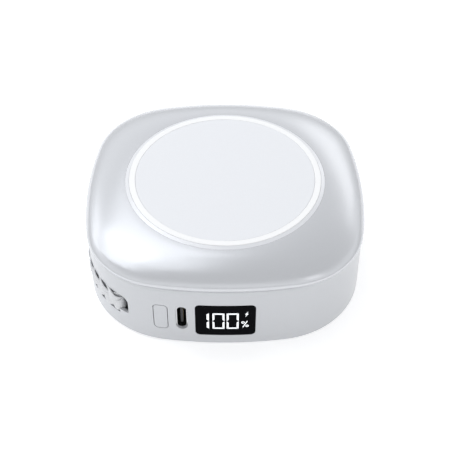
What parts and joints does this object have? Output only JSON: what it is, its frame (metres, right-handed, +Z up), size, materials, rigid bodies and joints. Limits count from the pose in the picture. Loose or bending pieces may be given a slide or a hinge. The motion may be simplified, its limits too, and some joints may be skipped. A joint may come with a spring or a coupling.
{
  "type": "power bank",
  "caption": "Rounded-square wireless power bank with a round charging pad, digital charge display, USB-C socket, power button and braided carry strap.",
  "frame": {"origin": "middle of the footprint, on the surface the feet rest on", "axes": "+Z up through the charging pad, -Y out of the wall with the display and socket, -X towards the carry strap"},
  "size_m": [0.0814, 0.0792, 0.0283],
  "materials": {
    "cap_satin": "pearl satin",
    "wall_satin": "fine matte",
    "base_plastic": "fine matte",
    "pad_plastic": "soft matte",
    "ring_white": "gloss",
    "bezel_satin": "satin",
    "window_black": "gloss",
    "display_light": "lit diffuser",
    "black_plastic": "matte",
    "frame_plastic": "matte",
    "steel": "plated",
    "dark_steel": "black plated",
    "gold_contact": "gold plated",
    "copper": "enamelled wire",
    "magnet_nickel": "nickel plated",
    "ferrite": "matte",
    "circuit_board": "solder mask",
    "chip_black": "moulded",
    "capacitor_tan": "ceramic",
    "cell_foil": "laminate foil",
    "foam": "foam",
    "rubber_foot": "matte",
    "strap_braid": "flat braid",
    "wire_red": "insulation"
  },
  "bodies": {
    "housing": {"cap_shell": "cap_satin", "side_wall": "wall_satin", "base_cover": "base_plastic", "base_screws": "steel", "rubber_feet": "rubber_foot", "pad_disc": "pad_plastic", "pad_ring": "ring_white", "pad_bezel": "bezel_satin", "coil_carrier": "black_plastic", "magnet_ring": "magnet_nickel", "charging_coil": "copper", "ferrite_sheet": "ferrite", "coil_leads": "wire_red", "display_window": "window_black", "display_digits": "display_light", "display_module": "black_plastic", "switch_body": "black_plastic", "usb_shell": "dark_steel", "usb_insert": "black_plastic", "usb_contacts": "gold_contact", "front_board": "circuit_board", "main_board": "circuit_board", "main_board_chips": "chip_black", "power_inductors": "ferrite", "capacitors": "capacitor_tan", "board_screws": "steel", "flex_cable": "frame_plastic", "battery_cell_lower": "cell_foil", "battery_cell_upper": "cell_foil", "cell_tabs": "magnet_nickel", "cell_frame": "frame_plastic", "protection_board": "circuit_board", "thermistor": "chip_black", "cell_adhesive": "foam", "foam_pads": "foam", "insulation_sheet": "frame_plastic", "carry_strap": "strap_braid", "strap_pins": "steel"},
    "button": {"power_button": "wall_satin", "switch_plunger": "black_plastic"}
  },
  "joints": [
    {"name": "button_press", "type": "slide", "parent": "housing", "child": "button", "axis": [0, 1, 0], "range_m": [0, 0.0004], "stiffness_N_per_m": 4000}
  ]
}
